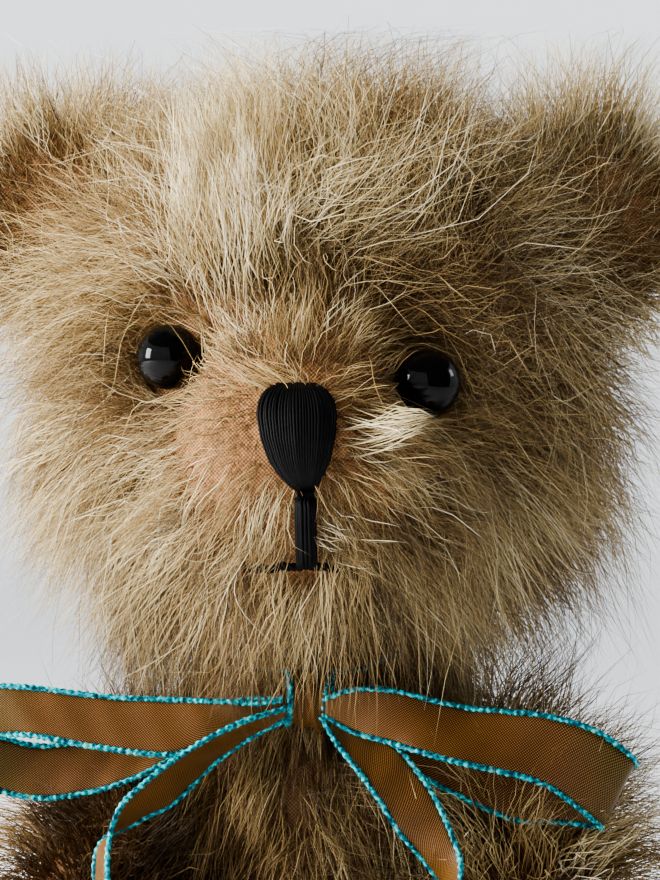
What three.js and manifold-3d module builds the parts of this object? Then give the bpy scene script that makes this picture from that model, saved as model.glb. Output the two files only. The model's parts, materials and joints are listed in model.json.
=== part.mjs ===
// A jointed mohair teddy bear, sitting, about 190 mm tall. The head, both arms and both legs are sewn skins over
// stuffing, and each turns on two discs, two washers and a cotter pin. Millimetres, +Z up. The bear faces -Y, so
// its own left side is at +X. The origin is the middle of the flat seat under the body.
import * as THREE from 'three';
import { mergeVertices } from 'three/addons/utils/BufferGeometryUtils.js';
import Module from 'manifold-3d';

const wasm = await Module();
wasm.setup();

// ---- Driving dimensions ------------------------------------------------------------------------------------
const CLOTH = 1.5; // mohair cloth: the woven backing and the roots of its pile
const GAP = 0.4; // between pieces that turn on each other
const FIT = 0.3; // between pieces that only lie together

const HEAD = { halfWidth: 41, halfDepth: 36, halfHeight: 42, z: 146 };
const MUZZLE = { reach: 19, spread: 0.5, drop: 0.3, aside: 0.03 }; // mm, then angles in radians
const NECK = { z: 106.6, disc: 10 };
const EYE = { r: 5, x: 18.9, z: 148, uneven: 1.8, proud: 2 };
const EAR = { r: 15.5, thick: 1.6, x: 42, y: 2, z: 171, lean: 28, turn: 14, cup: 5 };
const NOSE = { z: 138.2, halfHeight: 8.2, halfTop: 6.9, halfFoot: 2.2, thick: 2.2, turn: 0.024 };
const LIP = { r: 1.6, foot: 119.5, turn: 0.052 };
const MOUTH = { r: 0.6, near: 0.055, far: 0.2, drop: { left: 2.2, right: 0.3 } };

// The body's outline as radius and height, and how deep it is for its width.
const BODY = [[14, 0], [22, 3], [27, 13], [30, 29], [29, 47], [27, 62], [25.5, 77], [22.5, 91], [14.5, 106.4]];
const BODY_DEPTH = 0.87;

// At a shoulder or hip, the body is pressed flat under the disc, and slopes away from the limb beyond it.
const SHOULDER = { x: 21, z: 76, disc: 8, slope: 0.2, pressed: 52 };
const ARM = { top: 14, tip: -62, halfWidth: 11, swing: 58 };
const HIP = { x: 24, z: 16, disc: 9, slope: 0.2, pressed: 34 };
const LEG = { top: 16, sole: -84, halfWidth: 12, swing: 90 };

const DISC = { thick: 2.5, hole: 2.4 };
const WASHER = { r: 5.5, thick: 0.8, hole: 2.2 };
const WIRE = 0.8; // radius of the cotter pins' wire
const RIBBON = { width: 10, thick: 0.5 };

// ---- Finishes ----------------------------------------------------------------------------------------------
const finish = (color, roughness, metalness = 0) => new THREE.MeshStandardMaterial({ color, roughness, metalness });
const MOHAIR = finish(0xb2926a, 0.95);
const STUFFING = finish(0xe9e4d8, 1);
const FELT = finish(0x9c6a45, 0.95);
const HARDBOARD = finish(0x6e4a2c, 0.85);
const STEEL = finish(0xb4b7ba, 0.35, 1);
const GLASS = finish(0x07080a, 0.05);
const THREAD = finish(0x101012, 0.6);
const ORGANZA = finish(0x7a4420, 0.5);

// ---- Geometry helpers ----------------------------------------------------------------------------------------
const { clamp, degToRad, lerp, smoothstep } = THREE.MathUtils;
const bell = (x, spread) => Math.exp(-((x / spread) ** 2));
const at = (x, y, z) => new THREE.Vector3(x, y, z);

// A closed geometry as a solid that can be joined and cut.
function solid(geometry) {
	const bare = new THREE.BufferGeometry().setAttribute('position', geometry.getAttribute('position'));
	bare.setIndex(geometry.getIndex());
	const merged = mergeVertices(bare, 1e-4);
	const corners = merged.index.array;
	const triangles = [];
	for (let i = 0; i < corners.length; i += 3) {
		const [a, b, c] = corners.slice(i, i + 3);
		if (a !== b && b !== c && c !== a) triangles.push(a, b, c);
	}
	const vertProperties = merged.attributes.position.array;
	return new wasm.Manifold(new wasm.Mesh({ numProp: 3, vertProperties, triVerts: new Uint32Array(triangles) }));
}

function geometryOf(body) {
	const mesh = body.getMesh();
	const geometry = new THREE.BufferGeometry();
	geometry.setAttribute('position', new THREE.BufferAttribute(new Float32Array(mesh.vertProperties), 3));
	geometry.setIndex(new THREE.BufferAttribute(new Uint32Array(mesh.triVerts), 1));
	return geometry;
}

function add(group, name, material, shape) {
	const mesh = new THREE.Mesh(shape.isBufferGeometry ? shape : geometryOf(shape), material);
	mesh.name = name;
	group.add(mesh);
}

// A ball carried to another form: place(direction) gives the point in each direction. Its poles are on Z.
function form(around, along, place) {
	const geometry = new THREE.SphereGeometry(1, around, along).rotateX(Math.PI / 2);
	const points = geometry.getAttribute('position');
	for (let i = 0; i < points.count; i++) {
		points.setXYZ(i, ...place(new THREE.Vector3().fromBufferAttribute(points, i)).toArray());
	}
	return geometry;
}

// A solid turned about X from an outline of [radius, x] points, which go towards +X on its outer side.
function turned(outline, sides) {
	const profile = outline.map(([radius, x]) => new THREE.Vector2(radius, x));
	return new THREE.LatheGeometry(profile, sides).rotateZ(-Math.PI / 2);
}
const rod = (r, [x0, x1], sides) => turned([[0, x0], [r, x0], [r, x1], [0, x1]], sides);
const ring = (hole, r, [x0, x1], sides) => turned([[hole, x0], [r, x0], [r, x1], [hole, x1], [hole, x0]], sides);

// A round wire or thread along a smooth line through points.
function wire(points, r, steps, sides = 5) {
	const section = new THREE.Shape();
	for (let i = 0; i < sides; i++) {
		const angle = (i / sides) * 2 * Math.PI;
		section[i ? 'lineTo' : 'moveTo'](r * Math.cos(angle), r * Math.sin(angle));
	}
	const extrudePath = new THREE.CatmullRomCurve3(points);
	return new THREE.ExtrudeGeometry(section, { steps, extrudePath, bevelEnabled: false });
}

// A solid given in one group's frame, in another's.
function carried(body, from, to) {
	return body.transform(to.matrixWorld.clone().invert().multiply(from.matrixWorld).elements);
}

// ---- Groups: a joint's group has its axis along X, pointing from the fixed part to the moving one -------------
const bear = new THREE.Group();
const SIDES = [['left', 1], ['right', -1]];

const neckSeat = new THREE.Group();
neckSeat.position.z = NECK.z;
neckSeat.rotation.y = -Math.PI / 2;
bear.add(neckSeat);

// A limb's own group has it hanging along -Z. Its swing lifts it forwards, in degrees.
function limbGroups(side, joint, swing) {
	const limb = new THREE.Group();
	limb.position.set(side * joint.x, 0, joint.z);
	limb.rotation.x = -degToRad(swing);
	const seat = new THREE.Group();
	seat.rotation.z = side > 0 ? 0 : Math.PI;
	limb.add(seat);
	bear.add(limb);
	return { limb, seat, joint };
}
const arms = SIDES.map(([, side]) => limbGroups(side, SHOULDER, ARM.swing));
const legs = SIDES.map(([, side]) => limbGroups(side, HIP, LEG.swing));
bear.updateMatrixWorld(true);

// ---- Joints ----------------------------------------------------------------------------------------------------
const discIn = GAP / 2 + CLOTH + FIT;
const discOut = discIn + DISC.thick;
const washerOut = discOut + FIT + WASHER.thick;
const pinTurn = washerOut + FIT + WIRE; // where the wire leaves the washer, on either side
const pinEnd = pinTurn + 5.6;

// A stretch of the joint's axis, on the moving side (way 1) or the fixed side (way -1).
const span = (way, near, far) => (way > 0 ? [near, far] : [-far, -near]);

function addJoint(group, label, discR) {
	for (const [part, way] of [['fixed', -1], ['moving', 1]]) {
		add(group, `${label}_disc_${part}`, HARDBOARD, ring(DISC.hole, discR, span(way, discIn, discOut), 14));
		const washer = ring(WASHER.hole, WASHER.r, span(way, discOut + FIT, washerOut), 10);
		add(group, `${label}_washer_${part}`, STEEL, washer);
	}
	// The pin is one wire: an eye on the moving side, and two legs that are curled back on the fixed side.
	const leg = [[pinTurn, 1.05], [-pinTurn, 1.05], [-pinTurn - 2.4, 1.9], [-pinTurn - 2.6, 4], [-pinTurn - 0.4, 4.9]];
	const eye = [[pinTurn + 1.4, 2.1], [pinTurn + 3.4, 2], [pinTurn + 4.4, 0]];
	const upper = [...leg.toReversed(), ...eye].map(([x, z]) => at(x, 0, z));
	const lower = [...eye.slice(0, 2).toReversed(), ...leg].map(([x, z]) => at(x, 0, -z));
	add(group, `${label}_cotter_pin`, STEEL, wire([...upper, ...lower], WIRE, 26));
}

// The room that a joint's pieces need in the stuffing on one side of it.
function pocket(discR, way) {
	const pinRoom = solid(rod(WASHER.r + 0.7, span(way, -1, pinEnd), 10));
	return pinRoom.add(solid(rod(discR + FIT, span(way, -2, discOut + FIT), 14)));
}
const pinHole = () => solid(rod(DISC.hole, [-5, 5], 10));

// The surface between the body and a limb, as [radius, x] from the axis outwards, and what lies on either side.
function pressedSurface(joint, shift) {
	const flat = joint.disc + 2.5;
	return [[0, shift], [flat, shift], [joint.pressed, shift + (joint.pressed - flat) * joint.slope]];
}
const limbSide = (joint, inset) =>
	solid(turned([...pressedSurface(joint, -GAP / 2 - inset), [joint.pressed, 60], [0, 60]], 18));
function bodySide(joint, inset) {
	const surface = pressedSurface(joint, GAP / 2 + inset);
	return solid(turned([[0, -60], [110, -60], [110, surface.at(-1)[1]], ...surface.reverse()], 18));
}

// ---- Body --------------------------------------------------------------------------------------------------------
function bodyForm(inset, around, along) {
	const top = BODY.at(-1)[1];
	const side = new THREE.SplineCurve(BODY.map(([r, z]) => new THREE.Vector2(r, z))).getPoints(along);
	const outline = side.map((p) => new THREE.Vector2(p.x - inset, clamp(p.y, inset, top - inset)));
	const profile = [new THREE.Vector2(0, inset), ...outline, new THREE.Vector2(0, top - inset)];
	return solid(new THREE.LatheGeometry(profile, around).rotateX(Math.PI / 2).scale(1, BODY_DEPTH, 1));
}

function pressedBody(inset, around, along) {
	let body = bodyForm(inset, around, along);
	for (const { seat, joint } of [...legs, ...arms]) body = body.subtract(carried(limbSide(joint, inset), seat, bear));
	return body;
}

function addBody() {
	let cloth = pressedBody(0, 22, 12).subtract(pressedBody(CLOTH, 16, 9));
	let stuffing = pressedBody(CLOTH + FIT, 16, 9);
	for (const { seat, joint } of [{ seat: neckSeat, joint: NECK }, ...legs, ...arms]) {
		cloth = cloth.subtract(carried(pinHole(), seat, bear));
		stuffing = stuffing.subtract(carried(pocket(joint.disc, -1), seat, bear));
	}
	add(bear, 'body_cloth', MOHAIR, cloth);
	add(bear, 'body_stuffing', STUFFING, stuffing);
}

// ---- Limbs ---------------------------------------------------------------------------------------------------------
// A limb's form, from its top to end: middle(s) and half(s) are its section's middle and half depth, s from 0 to 1.
function limbForm(side, inset, [around, along], limb, middle, half, end) {
	return solid(form(around, along, (d) => {
		const across = Math.hypot(d.x, d.y);
		const full = across > 1e-6 ? across ** 0.7 / across : 0;
		const s = (1 - d.z) / 2;
		const p = middle(s);
		p.x = side * p.x + d.x * full * (limb.halfWidth - inset);
		p.y += d.y * full * (half(s) - inset);
		p.z = clamp(lerp(limb.top, end, s), end, limb.top - inset);
		return p;
	}));
}

function armForm(side, inset, detail = [14, 12]) {
	const middle = (s) => at(ARM.halfWidth - 4 + 17 * s ** 1.4, 4.5 * Math.sin(Math.PI * s) - 5 * s * s, 0);
	const half = (s) => 12.4 - 2.8 * bell(s - 0.66, 0.22);
	return limbForm(side, inset, detail, ARM, middle, half, ARM.tip + inset);
}

// The sole is flat, and the foot reaches forwards of the leg.
function legForm(side, inset, detail = [14, 14], sole = LEG.sole) {
	const foot = (s) => smoothstep(s, 0.62, 0.86);
	const middle = (s) => at(LEG.halfWidth - 4.5 + 9.5 * s, -9 * foot(s), 0);
	const half = (s) => 15.9 - 4 * bell(s - 0.58, 0.2) + 9 * foot(s);
	const beyond = new THREE.BoxGeometry(200, 200, 60).translate(0, 0, sole - 30);
	return limbForm(side, inset, detail, LEG, middle, half, LEG.sole - 10).subtract(solid(beyond));
}

// A limb's form covers the rim of its disc, and ends at its joint's surface.
function pressed(whole, inset, { seat, limb, joint }) {
	const rim = solid(rod(joint.disc + CLOTH + 1.1 - inset, [-3, discOut + CLOTH + 1.5 - inset], 16));
	return whole.add(carried(rim, seat, limb)).subtract(carried(bodySide(joint, inset), seat, limb));
}

function addArm(name, side, arm) {
	const { limb, seat } = arm;
	const shape = (inset, detail) => pressed(armForm(side, inset, detail), inset, arm);
	const cloth = shape(0).subtract(shape(CLOTH, [10, 8]));
	add(limb, `arm_cloth_${name}`, MOHAIR, cloth.subtract(carried(pinHole(), seat, limb)));
	const stuffing = shape(CLOTH + FIT, [10, 8]).subtract(carried(pocket(SHOULDER.disc, 1), seat, limb));
	add(limb, `arm_stuffing_${name}`, STUFFING, stuffing);

	// The paw pad is an oval on the side of the paw that faces the bear.
	const oval = new THREE.CylinderGeometry(1, 1, 18, 16).rotateZ(Math.PI / 2).scale(1, 7.2, 10);
	oval.translate(side * 8, -1.5, ARM.tip + 14);
	add(limb, `paw_pad_${name}`, FELT, solid(oval).intersect(armForm(side, -1.1)).subtract(armForm(side, -FIT)));
}

function addLeg(name, side, leg) {
	const { limb, seat } = leg;
	const rim = LEG.sole + CLOTH + FIT;
	const shape = (inset, detail, sole) => pressed(legForm(side, inset, detail, sole), inset, leg);
	// The cloth is open at the sole, which the foot pad closes.
	const cloth = shape(0, [14, 14], rim).subtract(shape(CLOTH, [10, 10], rim - 5));
	add(limb, `leg_cloth_${name}`, MOHAIR, cloth.subtract(carried(pinHole(), seat, limb)));
	const stuffing = shape(CLOTH + FIT, [10, 10], rim).subtract(carried(pocket(HIP.disc, 1), seat, limb));
	add(limb, `leg_stuffing_${name}`, STUFFING, stuffing);

	const slab = new THREE.BoxGeometry(200, 200, CLOTH).translate(0, 0, LEG.sole + CLOTH / 2);
	add(limb, `foot_pad_${name}`, FELT, shape(0).intersect(solid(slab)));
}

// ---- Head ------------------------------------------------------------------------------------------------------------
const headMiddle = at(0, 0, HEAD.z);

// The head's surface in a direction from its middle, moved in by inset: an egg with a muzzle.
function headPoint(d, inset) {
	const egg = 1 / Math.hypot(d.x / HEAD.halfWidth, d.y / HEAD.halfDepth, d.z / HEAD.halfHeight);
	const turn = Math.atan2(d.x, -d.y);
	const rise = Math.asin(clamp(d.z, -1, 1));
	const away = Math.hypot(turn - MUZZLE.aside, rise + MUZZLE.drop) / MUZZLE.spread;
	const muzzle = MUZZLE.reach * Math.exp(-(away ** 3));
	return d.clone().multiplyScalar(egg + muzzle - inset).add(headMiddle);
}

// The head's form, flat at the neck. The ball's poles are turned to the muzzle and the back of the head.
function headForm(inset, around = 22, along = 22) {
	const ahead = (d) => d.applyAxisAngle(at(1, 0, 0), Math.PI / 2 + MUZZLE.drop);
	const below = new THREE.BoxGeometry(100, 100, 20).translate(0, 0, NECK.z + GAP / 2 + inset - 10);
	return solid(form(around, along, (d) => headPoint(ahead(d), inset))).subtract(solid(below));
}

// The value between low and high at which test changes from true to false.
function boundary(low, high, test) {
	for (let i = 0; i < 30; i++) {
		const middle = (low + high) / 2;
		if (test(middle)) low = middle;
		else high = middle;
	}
	return low;
}

// The point of the head's surface at a turn from straight ahead and a height, and the turn for a given x there.
function onFace(turn, z, inset = 0) {
	const ahead = (rise) =>
		headPoint(at(Math.sin(turn) * Math.cos(rise), -Math.cos(turn) * Math.cos(rise), Math.sin(rise)), inset);
	return ahead(boundary(-1.3, 1.3, (rise) => ahead(rise).z < z));
}
const turnAt = (x, z) => boundary(-1.3, 1.3, (turn) => onFace(turn, z).x < x);

function eyeAt(name, side) {
	const z = EYE.z - side * EYE.uneven;
	const seat = onFace(turnAt(side * EYE.x, z), z);
	const out = seat.clone().sub(headMiddle).normalize();
	return { name, out, middle: seat.addScaledVector(out, EYE.proud) };
}
const ball = (eye, r) => new THREE.SphereGeometry(r, 12, 8).translate(...eye.middle.toArray());

// An eye has a wire loop at its back, by which its thread pulls it into the head.
function addEye(eye) {
	const aside = at(-eye.out.y, eye.out.x, 0).normalize();
	const loop = [[5.9, 1], [7.6, 1.3], [9.4, 1.2], [10.4, 0], [9.4, -1.2], [7.6, -1.3], [5.9, -1]];
	const points = loop.map(([deep, across]) =>
		eye.middle.clone().addScaledVector(eye.out, -deep).addScaledVector(aside, across));
	add(bear, `eye_${eye.name}`, GLASS, ball(eye, EYE.r));
	add(bear, `eye_loop_${eye.name}`, STEEL, wire(points, 0.5, 14));
}

function addHead() {
	let cloth = headForm(0).subtract(headForm(CLOTH, 16, 14)).subtract(carried(pinHole(), neckSeat, bear));
	let stuffing = headForm(CLOTH + FIT, 16, 14).subtract(carried(pocket(NECK.disc, 1), neckSeat, bear));
	for (const [name, side] of SIDES) {
		const eye = eyeAt(name, side);
		const deep = eye.middle.clone().addScaledVector(eye.out, -12);
		const well = solid(wire([eye.middle, deep], 2.4, 1, 8)).add(solid(ball(eye, EYE.r + FIT)));
		cloth = cloth.subtract(well);
		stuffing = stuffing.subtract(well);
		addEye(eye);
	}
	add(bear, 'head_cloth', MOHAIR, cloth);
	add(bear, 'head_stuffing', STUFFING, stuffing);
}

// An ear is two cupped panels, the back one and then the front one, sewn to the head along their lower edge.
function addEar(name, side) {
	for (const [panel, forward] of [['back', 0], ['front', 2 * EAR.thick + FIT]]) {
		const geometry = form(14, 10, (d) => {
			const hollow = EAR.cup * (1 - d.x ** 2 - d.z ** 2);
			const p = at(d.x * EAR.r, d.y * EAR.thick + hollow - forward, d.z * EAR.r);
			p.applyAxisAngle(at(0, 1, 0), side * degToRad(EAR.lean));
			p.applyAxisAngle(at(0, 0, 1), side * degToRad(EAR.turn));
			return p.add(at(side * EAR.x, EAR.y, EAR.z));
		});
		add(bear, `ear_${panel}_${name}`, MOHAIR, solid(geometry).subtract(headForm(-FIT)));
	}
}

// The nose is a pad of upright stitches over the top of the muzzle, narrower at its foot.
function addNose() {
	const nose = form(12, 10, (d) => {
		const z = NOSE.z + Math.sign(d.z) * Math.abs(d.z) ** 0.75 * NOSE.halfHeight;
		const half = lerp(NOSE.halfTop, NOSE.halfFoot, ((1 - d.z) / 2) ** 1.8);
		const base = onFace(lerp(NOSE.turn, LIP.turn, ((1 - d.z) / 2) ** 2), z);
		return at(base.x + Math.sign(d.x) * Math.abs(d.x) ** 0.75 * half, base.y + d.y * NOSE.thick, z);
	});
	add(bear, 'nose_stitching', THREAD, solid(nose).subtract(headForm(-FIT)));
}

// A thread along the face, from one [turn, height] to another.
function stitch(name, r, from, to) {
	const points = [0, 0.25, 0.5, 0.75, 1].map((s) => onFace(lerp(from[0], to[0], s), lerp(from[1], to[1], s), -r));
	add(bear, name, THREAD, solid(wire(points, r, 8, 6)).subtract(headForm(-FIT)));
}

function addMouth() {
	stitch('lip_stitch', LIP.r, [LIP.turn, NOSE.z - NOSE.halfHeight - 0.6], [LIP.turn, LIP.foot]);
	for (const [name, side] of SIDES) {
		const [near, far] = [LIP.turn + side * MOUTH.near, LIP.turn + side * MOUTH.far];
		stitch(`mouth_stitch_${name}`, MOUTH.r, [near, LIP.foot - 0.4], [far, LIP.foot - 0.8 - MOUTH.drop[name]]);
	}
}

// ---- Ribbon bow ----------------------------------------------------------------------------------------------------
const KNOT = at(0.7, -28, 97);

// A strip of ribbon: a long box bent along a smooth line, its width as near to upright(t) as the line allows.
function strip(points, steps, upright) {
	const curve = new THREE.CatmullRomCurve3(points.map((p) => at(...p)));
	const geometry = new THREE.BoxGeometry(1, RIBBON.thick, RIBBON.width, steps);
	const corners = geometry.getAttribute('position');
	for (let i = 0; i < corners.count; i++) {
		const t = corners.getX(i) + 0.5;
		const along = curve.getTangent(t);
		const out = upright(t).cross(along).normalize();
		const wide = along.clone().cross(out);
		const p = curve.getPoint(t).addScaledVector(out, corners.getY(i)).addScaledVector(wide, corners.getZ(i));
		corners.setXYZ(i, ...p.toArray());
	}
	return geometry;
}

// Each loop runs out from the front of the knot, folds, and comes back behind itself. Its end leans outwards.
const LOOPS = {
	left: [[6, -29, 95.5], [20, -33, 94.5], [36, -33.5, 90.5], [46, -32, 85.5], [49.5, -29.5, 83], [46, -27, 83],
		[34, -26, 86.5], [20, -26, 91], [6, -27, 94]],
	right: [[-5, -29, 94.5], [-20, -33, 95.5], [-36, -33.5, 96], [-48, -32, 95], [-52.5, -29.5, 91.5], [-48, -27, 87.5],
		[-34, -26, 86], [-20, -26, 89.5], [-5, -27, 93]],
};
const LOOP_LEAN = 0.5;
// Each tail falls in front of the arm and then down the chest.
const TAILS = {
	left: [[5, -31.5, 91], [10, -36, 85], [17, -38, 77.5], [20.5, -38.5, 69], [19, -37, 59], [15, -35, 48], [13, -34, 38],
		[14, -35, 27]],
	right: [[-4, -31.5, 92], [-12, -36.5, 89.5], [-20, -40, 85], [-26, -43, 78], [-27.5, -45, 69], [-21, -43, 59],
		[-16, -39, 48], [-15, -37, 37]],
};

function addBow() {
	const knot = (grow) => {
		const ellipsoid = new THREE.SphereGeometry(1, 12, 8).scale(4.6 + grow, 3.4 + grow, 4.8 + grow);
		return solid(ellipsoid.translate(...KNOT.toArray()));
	};
	add(bear, 'ribbon_knot', ORGANZA, knot(0));

	// The collar follows the slope of the body's top, and reaches forward to the knot.
	const band = [[20.3, 94.5], [20.9, 94.5], [17.6, 104], [17, 104], [20.3, 94.5]];
	const profile = band.map(([r, z]) => new THREE.Vector2(r, z));
	const collar = new THREE.LatheGeometry(profile, 20).rotateX(Math.PI / 2).scale(1, 1.15, 1).translate(0, -2, 0);
	add(bear, 'ribbon_collar', ORGANZA, solid(collar).subtract(bodyForm(-FIT, 22, 12)).subtract(knot(FIT)));

	for (const [name, side] of SIDES) {
		const leaning = (t) => at(side * LOOP_LEAN * Math.sin(Math.PI * t) ** 4, 0, 1);
		const aslant = () => at(side, 0, 0.6);
		add(bear, `ribbon_loop_${name}`, ORGANZA, solid(strip(LOOPS[name], 22, leaning)).subtract(knot(FIT)));
		add(bear, `ribbon_tail_${name}`, ORGANZA, solid(strip(TAILS[name], 16, aslant)).subtract(knot(FIT)));
	}
}

addBody();
addJoint(neckSeat, 'neck', NECK.disc);
SIDES.forEach(([name, side], i) => {
	addArm(name, side, arms[i]);
	addJoint(arms[i].seat, `shoulder_${name}`, SHOULDER.disc);
	addLeg(name, side, legs[i]);
	addJoint(legs[i].seat, `hip_${name}`, HIP.disc);
});
addHead();
SIDES.forEach(([name, side]) => addEar(name, side));
addNose();
addMouth();
addBow();

export default bear;
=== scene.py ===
"""A sitting mohair teddy bear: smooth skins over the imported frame, with long fur, glass eyes, a stitched
nose and a ribbon bow. Lengths below are in millimetres, and MM turns them into the scene's metres."""
import json
import math

import bmesh
import bpy
import numpy as np
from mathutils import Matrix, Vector
from mathutils.bvhtree import BVHTree
from mathutils.kdtree import KDTree


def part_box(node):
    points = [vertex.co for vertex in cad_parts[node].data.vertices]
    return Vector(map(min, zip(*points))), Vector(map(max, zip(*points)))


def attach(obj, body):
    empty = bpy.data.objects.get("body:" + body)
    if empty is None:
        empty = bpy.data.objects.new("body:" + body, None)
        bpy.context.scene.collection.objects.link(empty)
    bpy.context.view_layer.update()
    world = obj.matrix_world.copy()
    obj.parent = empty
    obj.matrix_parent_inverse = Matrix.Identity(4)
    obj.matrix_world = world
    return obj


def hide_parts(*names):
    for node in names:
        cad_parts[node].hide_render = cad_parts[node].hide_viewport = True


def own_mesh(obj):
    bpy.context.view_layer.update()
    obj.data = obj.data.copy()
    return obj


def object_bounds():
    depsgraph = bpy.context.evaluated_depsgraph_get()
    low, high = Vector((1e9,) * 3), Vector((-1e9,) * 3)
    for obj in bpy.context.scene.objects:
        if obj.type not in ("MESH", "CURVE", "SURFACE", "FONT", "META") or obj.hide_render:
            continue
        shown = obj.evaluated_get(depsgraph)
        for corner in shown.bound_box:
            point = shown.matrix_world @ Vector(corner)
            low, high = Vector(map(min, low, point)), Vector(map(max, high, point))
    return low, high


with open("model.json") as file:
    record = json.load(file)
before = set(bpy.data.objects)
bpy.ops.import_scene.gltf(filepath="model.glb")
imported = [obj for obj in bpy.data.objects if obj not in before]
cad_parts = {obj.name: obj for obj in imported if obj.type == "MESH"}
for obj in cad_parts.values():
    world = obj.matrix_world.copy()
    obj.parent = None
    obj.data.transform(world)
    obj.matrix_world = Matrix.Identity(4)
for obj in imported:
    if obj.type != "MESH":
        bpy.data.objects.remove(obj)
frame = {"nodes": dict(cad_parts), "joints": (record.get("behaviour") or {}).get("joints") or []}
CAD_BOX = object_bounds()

MM = 0.001
SIDES = {"left": 1, "right": -1}  # the bear's own sides, and the sign of X there
NODES = frame["nodes"]
BLACK = (0, 0, 0)
WHITE = (1, 1, 1)
UP = np.array([0, 0, 1.0])


def add_object(name, data):
    thing = bpy.data.objects.new(name, data)
    bpy.context.collection.objects.link(thing)
    return thing


def mesh_from(bm, name):
    mesh = bpy.data.meshes.new(name)
    bm.to_mesh(mesh)
    bm.free()
    return mesh


def facing(direction):
    """The rotation that turns a lamp, card or camera towards a direction."""
    return direction.to_track_quat("-Z", "Y").to_euler()


# ---- Camera, lights and floor ----
CAMERA = {"aim": (4.5, -34, 137.4), "azimuth": 5.5, "elevation": 1.5, "distance": 520, "lens": 140}
STUDIO = {"flat": 2000, "wall": 4200, "height": 3000}  # the floor's flat radius, the wall's, and its height
WORLD = {"colour": (0.82, 0.88, 1.0, 1), "strength": 0.15}
CARD = {"place": (240, -240, 235), "size": (560, 360), "aim": (20, -20, 150)}
LAMP_AIM = (0, -20, 130)


def make_camera():
    turn = math.radians(CAMERA["azimuth"])
    tilt = math.radians(CAMERA["elevation"])
    back = Vector((math.sin(turn) * math.cos(tilt), -math.cos(turn) * math.cos(tilt), math.sin(tilt)))
    camera = add_object("camera", bpy.data.cameras.new("camera"))
    camera.data.lens = CAMERA["lens"]
    camera.data.clip_start = 10 * MM
    camera.location = (Vector(CAMERA["aim"]) + back * CAMERA["distance"]) * MM
    camera.rotation_euler = facing(-back)
    bpy.context.scene.camera = camera


def area_light(name, place, size, power, colour, mirrored=True):
    light = add_object(name, bpy.data.lights.new(name, "AREA"))
    light.data.shape = "RECTANGLE"
    light.data.size = size[0] * MM
    light.data.size_y = size[1] * MM
    light.data.energy = power
    light.data.color = colour
    light.location = Vector(place) * MM
    light.rotation_euler = facing(Vector(LAMP_AIM) - Vector(place))
    light.visible_glossy = mirrored


def paper_material():
    """Pale paper that glows a little away from the bear, as a backdrop with its own lamps does."""
    m = Nodes("floor_paper", 0.95, **{"Emission Color": (0.9, 0.95, 1.0, 1)})
    m.colour(m.ramp(m.noise(75), [(0.35, (0.85, 0.86, 0.87)), (0.65, (0.87, 0.88, 0.89))]))
    m.bump(m.noise(900), 0.02, 0.2)
    distance = m.add("ShaderNodeVectorMath", operation="LENGTH")
    m.join(m.place(), distance.inputs[0])
    far = m.math("DIVIDE", distance.outputs["Value"], STUDIO["wall"] * MM)
    glow = m.ramp(far, [(0.08, (0.1, 0.1, 0.1)), (0.75, (0.8, 0.8, 0.8))])
    m.join(glow, m.shader.inputs["Emission Strength"])
    m.material.cycles.emission_sampling = "NONE"
    return m.material


def make_dark_card():
    """A card that keeps the pale walls' light off the shaded side of the bear. The camera doesn't see it,
    and it casts no shadow from the lamps."""
    place = Vector(CARD["place"])
    half = Vector(CARD["size"]) / 2 * MM
    corners = [(x * half.x, y * half.y, 0) for x, y in ((-1, -1), (1, -1), (1, 1), (-1, 1))]
    mesh = bpy.data.meshes.new("dark_card")
    mesh.from_pydata(corners, [], [(0, 1, 2, 3)])
    mesh.materials.append(plain_material("dark_card", (0.03, 0.03, 0.03), 1.0))
    card = add_object("dark_card", mesh)
    card.location = place * MM
    card.rotation_euler = facing(Vector(CARD["aim"]) - place)
    card.visible_camera = False
    card.visible_shadow = False


def make_floor():
    """A round floor whose rim curves up into a wall."""
    profile = [(0, 0)]
    for step in range(13):
        angle = step / 12 * math.pi / 2
        profile.append((STUDIO["flat"] + (STUDIO["wall"] - STUDIO["flat"]) * math.sin(angle),
                        STUDIO["height"] * (1 - math.cos(angle))))
    bm = bmesh.new()
    verts = [bm.verts.new((r * MM, 0, z * MM)) for r, z in profile]
    edges = [bm.edges.new(pair) for pair in zip(verts, verts[1:])]
    bmesh.ops.spin(bm, geom=verts + edges, axis=(0, 0, 1), cent=(0, 0, 0), angle=2 * math.pi, steps=64)
    bmesh.ops.remove_doubles(bm, verts=bm.verts, dist=0.1 * MM)
    bmesh.ops.recalc_face_normals(bm, faces=bm.faces)
    mesh = mesh_from(bm, "floor")
    mesh.materials.append(paper_material())
    smooth_shade(mesh)
    add_object("floor", mesh)


def make_studio():
    """The floor, a soft window on the bear's right, the sky over it, and a little light from the room."""
    make_floor()
    world = bpy.data.worlds.new("world")
    bpy.context.scene.world = world
    world.use_nodes = True
    background = world.node_tree.nodes["Background"]
    background.inputs["Color"].default_value = WORLD["colour"]
    background.inputs["Strength"].default_value = WORLD["strength"]
    make_dark_card()
    area_light("window", (-830, -260, 300), (300, 380), 16.5, (1.0, 0.97, 0.92))
    area_light("sky", (-460, 30, 640), (420, 420), 13, (1.0, 0.98, 0.95), mirrored=False)
    area_light("room", (700, 130, 430), (200, 200), 1.3, (0.95, 0.97, 1.0))
    bpy.context.scene.view_settings.look = "AgX - Medium High Contrast"


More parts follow.
